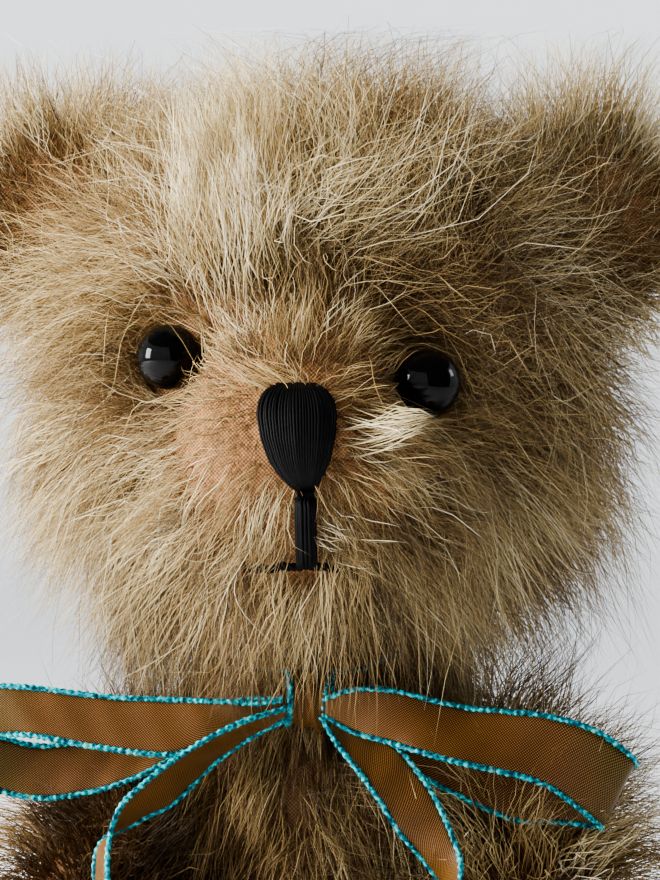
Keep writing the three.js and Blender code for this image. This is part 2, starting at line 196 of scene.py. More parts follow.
# ---- Materials ----
class Nodes:
    """A new Principled material, with short calls to add and join its nodes."""

    def __init__(self, name, roughness, **settings):
        self.material = bpy.data.materials.new(name)
        self.material.use_nodes = True
        self.tree = self.material.node_tree
        self.shader = self.tree.nodes["Principled BSDF"]
        self.shader.inputs["Roughness"].default_value = roughness
        for socket, value in settings.items():
            self.shader.inputs[socket].default_value = value

    def add(self, kind, **settings):
        node = self.tree.nodes.new(kind)
        for key, value in settings.items():
            if key in node.inputs:
                node.inputs[key].default_value = value
            else:
                setattr(node, key, value)
        return node

    def join(self, output, target):
        self.tree.links.new(output, target)

    def feed(self, value, socket):
        """A socket joined to value if that is an output, and set to it if it is plain."""
        if hasattr(value, "is_linked"):
            self.join(value, socket)
        else:
            socket.default_value = value

    def ramp(self, factor, stops):
        """A colour ramp through stops of (position, colour)."""
        node = self.add("ShaderNodeValToRGB")
        elements = node.color_ramp.elements
        while len(elements) < len(stops):
            elements.new(0.5)
        for element, (position, colour) in zip(elements, stops):
            element.position = position
            element.color = (*colour, 1)
        self.join(factor, node.inputs["Fac"])
        return node.outputs["Color"]

    def colour(self, output):
        self.join(output, self.shader.inputs["Base Color"])

    def bump(self, height, strength, distance):
        node = self.add("ShaderNodeBump", Strength=strength, Distance=distance * MM)
        self.join(height, node.inputs["Height"])
        self.join(node.outputs["Normal"], self.shader.inputs["Normal"])

    def blend(self, factor, a, b):
        """Colour a where factor is black, and b where it is white."""
        node = self.add("ShaderNodeMix", data_type="RGBA")
        self.join(factor, node.inputs["Factor"])
        self.feed(a, node.inputs[6])
        self.feed(b, node.inputs[7])
        return node.outputs[2]

    def noise(self, scale, detail=3, vector=None):
        node = self.add("ShaderNodeTexNoise", Scale=scale, Detail=detail)
        self.join(vector or self.place(), node.inputs["Vector"])
        return node.outputs["Fac"]

    def place(self):
        return self.add("ShaderNodeTexCoord").outputs["Object"]

    def math(self, operation, *values):
        node = self.add("ShaderNodeMath", operation=operation)
        for value, socket in zip(values, node.inputs):
            self.feed(value, socket)
        return node.outputs["Value"]

    def axes(self, vector):
        """The X, Y and Z of a vector."""
        node = self.add("ShaderNodeSeparateXYZ")
        self.join(vector, node.inputs["Vector"])
        return [node.outputs[axis] for axis in "XYZ"]

    def uv(self, layer):
        return self.axes(self.add("ShaderNodeUVMap", uv_map=layer).outputs["UV"])[:2]


def srgb(*values):
    """A linear colour from 0 to 255 values as they look on a screen."""
    return tuple(((v / 255 + 0.055) / 1.055) ** 2.4 if v > 10 else v / 255 / 12.92 for v in values)


def shade(colour, factor):
    return tuple(min(1, c * factor) for c in colour)


def noisy_material(name, roughness, noise, stops, bump_noise=None, bump=(0, 0), **settings):
    """A material whose colour goes through stops by noise. Each noise is a scale and perhaps a detail, and
    bump is a strength and a distance."""
    m = Nodes(name, roughness, **settings)
    m.colour(m.ramp(m.noise(*noise), stops))
    if bump_noise:
        m.bump(m.noise(*bump_noise), *bump)
    return m.material


def plain_material(name, colour, roughness, grain=(2500, 0.15), variation=0.12, **settings):
    """A material with a fine grain in its bump, and slow variation in its colour."""
    stops = [(0.35, shade(colour, 1 - variation)), (0.65, shade(colour, 1 + variation))]
    return noisy_material(name, roughness, (grain[0] / 12,), stops, grain[:1], (grain[1], 0.2), **settings)


def backing_material(name, shades):
    """The woven backing under the pile: threads over and under each other, in shades from dark to pale."""
    m = Nodes(name, 0.85)
    x, _, z = m.axes(m.place())
    turn = 2 * math.pi / (BACKING_PITCH * MM)
    across = m.math("SINE", m.math("MULTIPLY", x, turn))
    up = m.math("SINE", m.math("MULTIPLY", z, turn))
    weave = m.math("ADD", m.math("MULTIPLY", m.math("MULTIPLY", across, up), 0.35), m.noise(900))
    m.colour(m.ramp(weave, list(zip((0.15, 0.55, 0.9), shades))))
    m.bump(weave, 0.6, 0.3)
    return m.material


BACKING_PITCH = 0.62  # from one thread to the next but one
FUR_SHADES = [(0.0, srgb(52, 36, 20)), (0.25, srgb(110, 84, 48)), (0.55, srgb(172, 146, 98)),
              (0.8, srgb(214, 196, 150)), (1.0, srgb(244, 234, 206))]
FUR_ROOT = srgb(122, 86, 48)


def fur_material():
    """The pile. Its UV layer gives each hair's tone along X, and the way along it from its root along Y."""
    m = Nodes("mohair_pile", 0.4, **{"Specular IOR Level": 0.4})
    tone, along = m.uv("OFBake")
    past_root = m.ramp(along, [(0.0, BLACK), (0.45, WHITE)])
    m.colour(m.blend(past_root, (*FUR_ROOT, 1), m.ramp(tone, FUR_SHADES)))
    return m.material


# ---- Mesh helpers ----
def smooth_shade(mesh):
    mesh.polygons.foreach_set("use_smooth", np.ones(len(mesh.polygons), bool))


def new_piece(name, mesh, body, material, replaces=()):
    """A piece that rides on a body, in a material, and stands for CAD nodes."""
    piece = add_object(name, mesh)
    mesh.materials.clear()
    mesh.materials.append(material)
    smooth_shade(mesh)
    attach(piece, body)
    if replaces:
        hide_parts(*replaces)
    return piece


def paint(node, material):
    """A CAD node that is shown as it is, in a material."""
    materials = NODES[node].data.materials
    materials.clear()
    materials.append(material)


def mesh_of(name, verts, faces):
    mesh = bpy.data.meshes.new(name)
    mesh.from_pydata((np.array(verts) * MM).tolist(), [], faces)
    return mesh


def add_tube(verts, faces, path, aside, other, radii, sides):
    """A closed tube along a path, with its rings in the directions aside and other."""
    start = len(verts)
    for k in range(len(path)):
        for i in range(sides):
            angle = 2 * math.pi * i / sides
            verts.append(path[k] + radii[k] * (math.cos(angle) * aside[k] + math.sin(angle) * other[k]))
    for k in range(len(path) - 1):
        for i in range(sides):
            a, b = start + k * sides + i, start + k * sides + (i + 1) % sides
            faces.append((a, b, b + sides, a + sides))
    faces.append(tuple(range(start + sides - 1, start - 1, -1)))
    faces.append(tuple(range(len(verts) - sides, len(verts))))


def apply_modifiers(piece):
    graph = bpy.context.evaluated_depsgraph_get()
    finished = bpy.data.meshes.new_from_object(piece.evaluated_get(graph))
    piece.modifiers.clear()
    piece.data = finished


def outside_of(node):
    """The outer walls of a CAD skin, closed over its eye and pin holes."""
    bm = bmesh.new()
    bm.from_mesh(NODES[node].data)
    bmesh.ops.remove_doubles(bm, verts=bm.verts, dist=0.01 * MM)
    tree = BVHTree.FromBMesh(bm)
    start = 0.05 * MM
    hidden = [f for f in bm.faces if tree.ray_cast(f.calc_center_median() + f.normal * start, f.normal)[0]]
    bmesh.ops.delete(bm, geom=hidden, context="FACES")
    bmesh.ops.holes_fill(bm, edges=bm.edges, sides=0)
    bmesh.ops.recalc_face_normals(bm, faces=bm.faces)
    return mesh_from(bm, node)


def smooth_skin(name, node, body, material, voxel=1.4, smoothing=14, filled=False):
    """A piece that stands for a faceted CAD node, as one smooth closed surface. A node that isn't filled is
    a hollow skin."""
    mesh = NODES[node].data.copy() if filled else outside_of(node)
    skin = new_piece(name, mesh, body, material, [node])
    remesh = skin.modifiers.new("remesh", "REMESH")
    remesh.mode = "VOXEL"
    remesh.voxel_size = voxel * MM
    relax = skin.modifiers.new("relax", "SMOOTH")
    relax.factor = 0.5
    relax.iterations = smoothing
    apply_modifiers(skin)
    smooth_shade(skin.data)
    return skin


# ---- Fur ----
MAX_REACH = 9.9  # how far hairs stand out of the CAD box, and on top of that this share of its side
MAX_REACH_SHARE = 0.027
PRESSED = 5  # how much of that is pressed in
FLOOR_GAP = 0.15
STRAY_SHARE = 0.06  # loose hairs for each one in a lock
LEAST_HAIRS = 60
SEEDS = {"head": 5, "strays": 13, "body": 17, "ears": 20, "arms": 30, "legs": 40, "paws": 50, "feet": 60,
         "tufts": 70}
FINE = (0.045, 0.09)  # the least and greatest radius of a hair
MIDDLING = (0.07, 0.12)
COARSE = (0.09, 0.15)


def surface_of(piece):
    """Arrays of a piece's points, its normals there and its triangles."""
    mesh = piece.data
    mesh.calc_loop_triangles()
    points = np.empty(len(mesh.vertices) * 3)
    normals = np.empty(len(mesh.vertices) * 3)
    triangles = np.empty(len(mesh.loop_triangles) * 3, int)
    mesh.vertices.foreach_get("co", points)
    mesh.vertices.foreach_get("normal", normals)
    mesh.loop_triangles.foreach_get("vertices", triangles)
    return points.reshape(-1, 3) / MM, normals.reshape(-1, 3), triangles.reshape(-1, 3)


def unit(vectors):
    return vectors / np.maximum(np.linalg.norm(vectors, axis=-1, keepdims=True), 1e-9)


def scatter(piece, count, rng):
    """Random points spread evenly over a piece, and the normals there."""
    points, normals, triangles = surface_of(piece)
    a, b, c = (points[triangles[:, i]] for i in range(3))
    area = np.linalg.norm(np.cross(b - a, c - a), axis=1)
    chosen = rng.choice(len(triangles), count, p=area / area.sum())
    u, v = rng.random((2, count, 1))
    u, v = np.where(u + v > 1, 1 - u, u), np.where(u + v > 1, 1 - v, v)
    mix = lambda values: sum(w * values[triangles[chosen, i]] for i, w in enumerate((1 - u - v, u, v)))
    return mix(points), unit(mix(normals))


def area_of(piece):
    return sum(face.area for face in piece.data.polygons) / MM**2


def far_from(points, place, stretch=1):
    """How far each of some points is from a place, along axes stretched by stretch."""
    return np.linalg.norm((points - place) * stretch, axis=-1)


def flat_tone(value):
    return lambda roots: np.full(len(roots), value)


def grow(roots, normals, style, rng, segments):
    """Hairs from roots as an array of (hair, step, xyz). style gives each hair's first direction, the pull
    that bends it, its length, and how far it curls as a share of that."""
    count = len(roots)
    first, pull, length, curl = style(roots, normals, rng)
    steps = np.linspace(0, 1, segments + 1)[None, :, None]
    length = length[:, None, None]
    path = first[:, None] * steps + pull[:, None] * steps**2
    side = unit(np.cross(first, rng.normal(size=(count, 3))))
    other = np.cross(first, side)
    phase, turns = rng.random((2, count, 1, 1))
    phase = phase * 6.28
    wave = 2 * np.pi * (0.5 + 0.8 * turns) * steps + phase
    sway = (np.cos(wave) - np.cos(phase)) * side[:, None] + (np.sin(wave) - np.sin(phase)) * other[:, None]
    return roots[:, None] + length * (path + curl[:, None, None] * sway * steps)


def loose_style(lengths, curls, spread, bend, lift=1, way=0, droop=0):
    """Hairs that stand up by lift and lie along way. Their directions differ by spread, and they bend by
    bend in any direction and by droop downwards."""
    def style(roots, normals, rng):
        first = unit(lift * normals + way + rng.normal(0, spread, roots.shape))
        pull = rng.normal(0, bend, roots.shape) - droop * UP
        return first, pull, rng.uniform(*lengths, len(roots)), rng.uniform(*curls, len(roots))
    return style


def clumped(hairs, guides, hold, rng):
    """Hairs drawn towards the nearest guide hair, more so towards their tips, and the guide of each one."""
    tree = KDTree(len(guides))
    for i, point in enumerate(guides[:, 0]):
        tree.insert(point, i)
    tree.balance()
    nearest = np.array([tree.find(point)[1] for point in hairs[:, 0]])
    steps = np.linspace(0, 1, hairs.shape[1])[None, :, None]
    grip = rng.uniform(0.3, 1, (len(hairs), 1, 1)) * hold * steps**1.1
    return hairs * (1 - grip) + guides[nearest] * grip, nearest


def kept_out(hairs, middle, out, radius):
    """Hairs pushed aside from a round post that stands out of the surface at middle."""
    offset = hairs - middle
    along = offset @ out
    aside = offset - along[..., None] * out
    distance = np.linalg.norm(aside, axis=-1, keepdims=True)
    inside = (distance < radius) & (along > -8)[..., None]
    pushed = aside * (radius / np.maximum(distance, 1e-6) - 1)
    return hairs + np.where(inside, pushed, 0)


def hair_mesh(name, hairs, radius, tone, rng):
    """Each hair as a tapered three-sided solid. Its UV holds its tone and the way along it."""
    count, rings = hairs.shape[0], hairs.shape[1] - 1
    direction = unit(hairs[:, -1] - hairs[:, 0])
    side = unit(np.cross(direction, rng.normal(size=(count, 3))))
    other = np.cross(direction, side)
    along = np.arange(rings) / rings
    thickness = (radius[:, None] * (1 - 0.75 * along**2))[:, :, None]
    corners = []
    for k in range(3):
        angle = 2 * np.pi * k / 3
        rim = np.cos(angle) * side + np.sin(angle) * other
        corners.append(hairs[:, :-1] + thickness * rim[:, None])
    body = np.stack(corners, axis=2).reshape(count, rings * 3, 3)
    verts = np.concatenate([body, hairs[:, -1:]], axis=1).reshape(-1, 3) * MM
    quads = np.array([[3 * r + k, 3 * r + (k + 1) % 3, 3 * r + 3 + (k + 1) % 3, 3 * r + 3 + k]
                      for r in range(rings - 1) for k in range(3)])
    tips = np.array([[3 * rings - 3 + k, 3 * rings - 3 + (k + 1) % 3, 3 * rings] for k in range(3)])
    base = np.array([[2, 1, 0]])
    loops = np.concatenate([quads.ravel(), tips.ravel(), base.ravel()])
    sizes = [4] * len(quads) + [3] * (len(tips) + 1)
    per_hair = 3 * rings + 1

    mesh = bpy.data.meshes.new(name)
    mesh.vertices.add(len(verts))
    mesh.vertices.foreach_set("co", verts.ravel())
    corner_verts = (np.arange(count)[:, None] * per_hair + loops).ravel()
    mesh.loops.add(len(corner_verts))
    mesh.loops.foreach_set("vertex_index", corner_verts)
    all_sizes = np.tile(sizes, count)
    mesh.polygons.add(len(all_sizes))
    mesh.polygons.foreach_set("loop_start", np.concatenate([[0], np.cumsum(all_sizes)[:-1]]))
    mesh.update(calc_edges=True)

    height = np.append(np.repeat(along, 3), 1.0)[loops]
    uv = np.empty((count, len(loops), 2))
    uv[:, :, 0] = np.clip(tone, 0.02, 0.98)[:, None]
    uv[:, :, 1] = 0.02 + 0.96 * height
    mesh.uv_layers.new(name="OFBake").data.foreach_set("uv", uv.ravel())
    return mesh


def held_in(hairs):
    """Hairs kept near the CAD box and over the floor. Those that reach far out are pressed in softly."""
    low, high = np.array(CAD_BOX) / MM
    reach = MAX_REACH + MAX_REACH_SHARE * (high - low)
    for limit, sign in ((high + reach, 1), (low - reach, -1)):
        beyond = np.maximum(sign * (hairs - limit) + PRESSED, 0)
        hairs = hairs - sign * (beyond - PRESSED * np.tanh(beyond / PRESSED))
    hairs[..., 2] = np.maximum(hairs[..., 2], FLOOR_GAP)
    return hairs


def uncovering(hairs, places, rng, radius=1.3, share=0.3):
    """Which hairs to keep so that only a share of those in front of some places are left."""
    covers = np.zeros(len(hairs), bool)
    for place in places:
        aside = np.linalg.norm((hairs - place)[..., [0, 2]], axis=-1)
        covers |= ((aside < radius) & (hairs[..., 1] < place[1] + 4)).any(axis=1)
    return ~covers | (rng.random(len(hairs)) < share)


def add_fur(name, piece, body, density, style, tone, seed, keep=None, shape=None, segments=4, locks=0.03,
            hold=0.85, thick=(0.06, 0.11), seen=()):
    """Hair on a piece, as many to the square millimetre as density, gathered in locks. There is a guide for
    each lock, as a share of the hairs, and hold says how closely they follow it. style(roots, normals, rng)
    says how a hair grows, and tone(roots) its shade from 0, dark, to 1, pale. keep(roots, normals) says how
    many of the roots stay, from 0 to 1, and shape(hairs) may bend the hairs away from something. Few hairs
    stay in front of the places in seen."""
    rng = np.random.default_rng(seed)
    count = int(density * area_of(piece))

    def planted(number):
        roots, normals = scatter(piece, number, rng)
        if keep:
            stays = keep(roots, normals) > rng.random(number)
            roots, normals = roots[stays], normals[stays]
        return grow(roots - 0.3 * normals, normals, style, rng, segments)

    hairs, lock = clumped(planted(count), planted(max(LEAST_HAIRS, int(count * locks))), hold, rng)
    loose = planted(max(LEAST_HAIRS, int(count * STRAY_SHARE)))
    shades = tone(hairs[:, 0]) + rng.normal(0, 0.17, lock.max() + 1)[lock] + rng.normal(0, 0.1, len(lock))
    shades = np.concatenate([shades, tone(loose[:, 0]) + rng.normal(0.1, 0.3, len(loose))])
    hairs = np.concatenate([hairs, loose])
    if shape:
        hairs = shape(hairs)
    hairs = held_in(hairs)
    stays = uncovering(hairs, seen, rng)
    hairs, shades = hairs[stays], shades[stays]
    mesh = hair_mesh(name, hairs, rng.uniform(*thick, len(hairs)), shades, rng)
    return new_piece(name, mesh, body, FUR)


# ---- Places taken from the frame ----
def middle_of(node):
    low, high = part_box(node)
    return np.array(low + high) / 2 / MM


HEAD_MIDDLE = middle_of("head_cloth")
EYES = {side: middle_of(f"eye_{side}") for side in SIDES}
EYE_R = (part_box("eye_left")[1][0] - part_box("eye_left")[0][0]) / 2 / MM
NOSE = middle_of("nose_stitching")
KNOT = middle_of("ribbon_knot")
MOUTH = [middle_of("mouth_stitch_right") + np.array([x, 0, 0]) for x in (-3, -1, 1, 3)]
EAR_MIDDLES = {side: middle_of(f"ear_front_{side}") for side in SIDES}
JOINTS = {joint["name"]: np.array(joint["pos_m"]) / MM for joint in frame["joints"]}
SHOULDERS = {side: JOINTS[f"arm_{side}_swing"] for side in SIDES}


def ease(x, low, high):
    """0 below low, 1 above high, and smooth between them."""
    t = np.clip((x - low) / (high - low), 0, 1)
    return t * t * (3 - 2 * t)


def patches(points, size, seed):
    """A smooth random field over points, from about 0 to 1, whose patches are about size across."""
    rng = np.random.default_rng(seed)
    total = np.zeros(len(points))
    for wave in rng.normal(size=(7, 3)):
        total += np.sin(points @ (wave * 2.4 / size) + rng.uniform(0, 6.28))
    return 0.5 + total / 7


# ---- Head ----
TUFT = np.array([-11.0, -30, 170])  # the pale tuft that stands on the forehead, over the bear's right eye
TUFTS = {  # where each pale tuft is, which way it lies, how far its roots reach, its length and its tone
    "brow": (TUFT, (-0.05, -0.25, 1.0), 14, 19, 0.76),
    "cheek": (NOSE + np.array([9, 4, 0.5]), (1.0, -0.3, -0.35), 6, 13, 0.46),
    "lip": (NOSE + np.array([4, 4, -14]), (1.0, -0.3, -0.1), 5, 11, 0.52)}
WORN = NOSE + np.array([-11, 6, -1])  # where the pile is thinnest, beside the nose
INNER_CORNER = EYES["right"] + np.array([8, 0, 4])
EYE_CLEARANCE = {"left": 0.9, "right": 2.2}
MUZZLE_R = 27
CROWN_HEIGHT = 160
BACK_START = 4
SOCKETS = {"skin": 2.4, "stuffing": 3.2}  # how deep each is drawn in at the eyes
SOCKET_R = 7


def head_style(roots, normals, rng):
    """The pile leaves the nose in all directions: up over the forehead, out and down over the cheeks."""
    away = roots - (NOSE + np.array([0, 8, 2]))
    distance = np.linalg.norm(away, axis=1)
    comb = unit(away - (away * normals).sum(1, keepdims=True) * normals)
    up = ease(roots[:, 2:3], NOSE[2] + 8, NOSE[2] + 26)
    back = ease(roots[:, 1:2], -8, 22)
    near = ease(distance, 12, 30)[:, None]
    swirl = near * 3.2 * (patches(roots, 13, 21)[:, None] - 0.5)
    comb = comb * np.cos(swirl) + np.cross(normals, comb) * np.sin(swirl)
    comb = unit(comb * (1 - 0.8 * back) + np.array([0, 0.25, -0.6]) * back)
    wild = near * ease(roots[:, 0:1] + 0.8 * (roots[:, 2:3] - 150), 4, 26)
    noise = rng.normal(0, 0.26 + 0.22 * near + 0.18 * wild, roots.shape)
    lift = 0.3 + 0.5 * near - 0.25 * back
    first = unit(lift * normals + 0.8 * comb + 0.6 * up * np.array([0, -0.1, 1.0]) + noise)
    length = 7.5 + (8.5 + 3.5 * up[:, 0] - 5 * back[:, 0]) * near[:, 0]
    length = length * rng.uniform(0.55, 1.25, len(roots))
    droop = (0.1 + 0.6 * (1 - up)) * (0.25 + 0.75 * near)
    pull = comb * 0.2 - UP * droop + rng.normal(0, 0.2 + 0.15 * wild, roots.shape)
    return first, pull, length, rng.uniform(0.08, 0.24, len(roots)) * (1 + 0.7 * wild[:, 0])


def add_tufts(skin):
    for seed, (name, (place, way, reach, length, tone)) in enumerate(TUFTS.items(), SEEDS["tufts"]):
        near = lambda r, n: 1 - ease(far_from(r, place, (1, 0.5, 0.7)), 0.45 * reach, reach)
        style = loose_style((0.6 * length, length), (0.04, 0.14), 0.16, 0.18, lift=0.5, way=way)
        add_fur(f"head_fur_tuft_{name}", skin, "head", 1.4, style, flat_tone(tone), seed, keep=near,
                shape=head_shape)


def head_keep(roots, normals):
    """The pile is thin beside the nose, most of all on the bear's right, and leaves room for the eyes."""
    covered = 0.3 + 0.7 * ease(far_from(roots, WORN), 6, 14)
    covered *= 0.35 + 0.65 * ease(far_from(roots, INNER_CORNER), 3, 9)
    covered *= 0.6 + 0.4 * ease(patches(roots, 9, 3), 0.3, 0.55)
    for middle in EYES.values():
        covered *= far_from(roots, middle) > EYE_R + 0.3
    low, high = (np.array(corner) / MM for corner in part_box("lip_stitch"))
    on_lip = ((roots > low - (0.5, 4, 0)) & (roots < high + (0.5, 4, 1))).all(axis=1)
    return covered * (far_from(roots, NOSE) > 5) * (normals[:, 2] > -0.97) * ~on_lip


def head_shape(hairs):
    """The hairs pushed aside from the eyes and the lip."""
    for side, middle in EYES.items():
        out = unit(middle - HEAD_MIDDLE + np.array([0, -22.0, 0]))
        hairs = kept_out(hairs, middle, out, EYE_R + EYE_CLEARANCE[side])
    lip = NOSE + np.array([1.5, 0, -9])
    return kept_out(hairs, lip, np.array([0, -1.0, 0]), 2.4)


def head_tone(roots):
    """Paler at the top, as painted light, and near the forehead's tuft, and darker under the chin and near
    the ears, as painted shade.
    """
    # Painted light: the pile on the top of the head is paler.
    high = ease(roots[:, 2], 148, 176)
    # Painted shade under the chin.
    low = ease(-roots[:, 2], -126, -108)
    pale = 1 - ease(far_from(roots, TUFT, (1, 0.5, 0.6)), 5, 14)
    to_ear = np.minimum(*(far_from(roots, middle) for middle in EAR_MIDDLES.values()))
    # Painted shade under the chin, and near the ears where they shade the head.
    dark = 0.2 * low + 0.16 * (1 - ease(to_ear, 12, 26))
    return 0.26 + 0.12 * high + 0.24 * pale - dark + 0.36 * patches(roots, 14, 8)


def head_regions():
    """The head's fur in parts, each as a density, how many segments a hair has, and which roots are in it."""
    muzzle = lambda r: far_from(r, NOSE) < MUZZLE_R
    front = lambda r: (r[:, 1] < BACK_START) & ~muzzle(r)
    crown = lambda r: r[:, 2] > CROWN_HEIGHT
    return {
        "muzzle": (3.0, 5, muzzle),
        "crown": (2.05, 5, lambda r: front(r) & crown(r)),
        "cheek_left": (2.4, 5, lambda r: front(r) & ~crown(r) & (r[:, 0] > 0)),
        "cheek_right": (2.4, 5, lambda r: front(r) & ~crown(r) & (r[:, 0] <= 0)),
        "back": (1.3, 3, lambda r: r[:, 1] >= BACK_START),
    }


def sink_sockets(piece, depth):
    """A piece of the head pulled in round each eye, by the thread that holds the eye."""
    for vertex in piece.data.vertices:
        point = np.array(vertex.co) / MM
        for middle in EYES.values():
            distance = np.linalg.norm(point - middle)
            if distance < 2 * SOCKET_R:
                inwards = -Vector(unit(middle - HEAD_MIDDLE))
                vertex.co += inwards * depth * MM * math.exp(-((distance / SOCKET_R) ** 2))


def make_head():
    skin = smooth_skin("head_skin", "head_cloth", "head", BACKING)
    sink_sockets(skin, SOCKETS["skin"])
    for seed, (region, (density, segments, inside)) in enumerate(head_regions().items(), SEEDS["head"]):
        add_fur(f"head_fur_{region}", skin, "head", density, head_style, head_tone, seed, shape=head_shape,
                keep=lambda r, n: head_keep(r, n) * inside(r), segments=segments, locks=0.05, hold=0.72,
                thick=(0.1, 0.16) if region == "back" else FINE, seen=MOUTH if region == "muzzle" else ())
    add_tufts(skin)
    clear = lambda r, n: head_keep(r, n) * (far_from(r, NOSE) > 20)
    strays = loose_style((13, 19), (0.05, 0.34), 0.6, 0.35, droop=0.2)
    add_fur("head_fur_strays", skin, "head", 0.028, strays, flat_tone(0.62), SEEDS["strays"], keep=clear,
            shape=head_shape, segments=9, locks=0, hold=0, thick=(0.05, 0.08))


# ---- Eyes ----
def make_eyes():
    glass = noisy_material("eye_glass", 0.04, (60,), [(0.3, srgb(3, 3, 4)), (0.7, srgb(9, 7, 6))],
                           **{"Specular IOR Level": 0.16})
    for side, middle in EYES.items():
        bm = bmesh.new()
        bmesh.ops.create_icosphere(bm, subdivisions=5, radius=EYE_R * MM)
        bmesh.ops.translate(bm, verts=bm.verts, vec=Vector(middle) * MM)
        name = f"eye_{side}_glass"
        new_piece(name, mesh_from(bm, name), "head", glass, [f"eye_{side}"])


# ---- Nose and mouth ----
TWIST_PITCH = 1.6
MOUTH_RISE = 0.9  # how far the mouth's threads stand out of the CAD ones
THREADS = {"nose_stitching": (26, 0.27, 0), "lip_stitch": (5, 0.26, 2)}  # columns, radius and overlap


def node_tree(node):
    bm = bmesh.new()
    bm.from_mesh(NODES[node].data)
    tree = BVHTree.FromBMesh(bm)
    bm.free()
    return tree


def width_at(node, height):
    """The least and greatest x of a node's mesh at a height."""
    mesh = NODES[node].data
    points = np.array([v.co for v in mesh.vertices]) / MM
    edges = np.array([e.vertices for e in mesh.edges])
    a, b = points[edges[:, 0]], points[edges[:, 1]]
    share = (height - a[:, 2]) / np.where(a[:, 2] == b[:, 2], 1, b[:, 2] - a[:, 2])
    cut = a[:, 0] + share * (b[:, 0] - a[:, 0])
    cut = cut[(share >= 0) & (share <= 1) & (a[:, 2] != b[:, 2])]
    return cut.min(), cut.max()


def thread_mesh(lines, radius):
    """Round threads along lines of points, all in one mesh, with their ends closed."""
    verts, faces = [], []
    for line in lines:
        line = np.array(line)
        along = unit(np.gradient(line, axis=0))
        aside = unit(np.cross(along, (0.3, 1, 0.2)))
        add_tube(verts, faces, line, aside, np.cross(along, aside), [radius] * len(line), 6)
    return mesh_of("threads", verts, faces)


def satin_stitch(node, columns, radius, overlap):
    """Upright threads side by side over the front of a CAD node, laid in two slightly crossing layers.
    Their tops reach up past it by overlap."""
    low, high = (corner[2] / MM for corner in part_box(node))
    tree = node_tree(node)
    rng = np.random.default_rng(4)
    lines = []
    for layer in range(2):
        for column in range(columns):
            share = (column + 0.5 * layer + 0.5) / (columns + 0.5)
            line = []
            lean = rng.normal(0, 0.02)
            for step in range(17):
                t = step / 16
                z = low + (high - low) * (0.02 + 0.96 * t)
                left, right = width_at(node, z)
                spread = np.clip(share + lean * (t - 0.5), 0.03, 0.97)
                x = left + (right - left) * spread
                hit = tree.ray_cast(Vector((x, -200, z)) * MM, Vector((0, 1, 0)))[0]
                if hit:
                    rise = (0.15 + 0.35 * layer) * math.sin(math.pi * t) ** 0.3
                    line.append((x, hit.y / MM - rise, z))
            x, y, z = line[-1]
            lines.append(line + [(x, y + 0.2, z + overlap)] if overlap else line)
    return thread_mesh(lines, radius)


def twisted_thread(node, radius, inwards):
    """Two strands wound round each other along a CAD thread that runs across the face, and on towards the
    lip by inwards, along X."""
    low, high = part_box(node)
    points = np.array([v.co for v in NODES[node].data.vertices]) / MM
    ends = [low[0] / MM + 0.1, high[0] / MM - 0.1]
    ends[inwards > 0] += inwards
    xs = np.linspace(*ends, 40)
    middles = np.array([points[np.argsort(abs(points[:, 0] - x))[:6]].mean(axis=0) for x in xs])
    for _ in range(6):
        middles[1:-1] = (middles[:-2] + 2 * middles[1:-1] + middles[2:]) / 4
    middles[:, 0] = xs
    swing = radius * 0.8
    strands = []
    for phase in (0, math.pi):
        angles = np.linspace(0, 2 * math.pi * (xs[-1] - xs[0]) / TWIST_PITCH, len(xs)) + phase
        aside = np.stack([0 * angles, swing * np.cos(angles) - MOUTH_RISE, swing * np.sin(angles)], axis=1)
        strands.append(middles + aside)
    return thread_mesh(strands, radius)


def make_nose():
    thread = noisy_material("black_thread", 0.6, (500,), [(0.3, srgb(3, 3, 4)), (0.75, srgb(11, 10, 12))],
                            (6000,), (0.5, 0.1), **{"Specular IOR Level": 0.14})
    base = plain_material("nose_base", srgb(6, 6, 7), 0.9, grain=(4000, 0.4), **{"Specular IOR Level": 0.1})
    for node, (columns, radius, overlap) in THREADS.items():
        threads = satin_stitch(node, columns, radius, overlap)
        new_piece(f"{node}_threads", threads, "head", thread)
        paint(node, base)
    for side, sign in SIDES.items():
        node = f"mouth_stitch_{side}"
        strands = twisted_thread(node, 0.4, -1.8 * sign)
        new_piece(f"{node}_thread", strands, "head", thread, [node])


# ---- Ears ----
# Painted shade darkens the hollows, and painted light makes the whole left ear paler than the right.
EAR_TONES_AND_SHADING = {"left": (0.5, 0.82), "right": (0.24, 0.76)}  # the hollow's tone and the rim's
EAR_DENSITY = {"back": 2.0, "front": 2.8}
EAR_REACH = 16


def ear_style(middle):
    """Pile that stands out and up from the middle of the ear, and is longer towards its rim."""
    def style(roots, normals, rng):
        away = roots - middle
        rim = np.linalg.norm(away, axis=1) / EAR_REACH
        comb = unit(away - (away * normals).sum(1, keepdims=True) * normals)
        first = unit(normals * 0.6 + comb * 0.8 + 0.5 * UP + rng.normal(0, 0.4, roots.shape))
        pull = comb * 0.2 + rng.normal(0, 0.3, roots.shape)
        length = (6 + 10 * ease(rim, 0.3, 1)) * rng.uniform(0.6, 1.25, len(roots))
        return first, pull, length, rng.uniform(0.04, 0.2, len(roots))
    return style


def ear_tone(side, panel):
    """The hollow in the front of the ear is darker than its rim, as painted shade in the recess."""
    hollow, rim = EAR_TONES_AND_SHADING[side]
    if panel == "back":
        return flat_tone(rim - 0.15)
    middle = EAR_MIDDLES[side]
    return lambda roots: hollow + (rim - hollow) * ease(far_from(roots, middle) / EAR_REACH, 0.4, 1)


def ear_keep(middle, panel):
    """The pile is thinner in the hollow in the front of the ear."""
    least = 0.4 if panel == "front" else 1
    return lambda roots, normals: least + (1 - least) * ease(far_from(roots, middle), 6, 12)


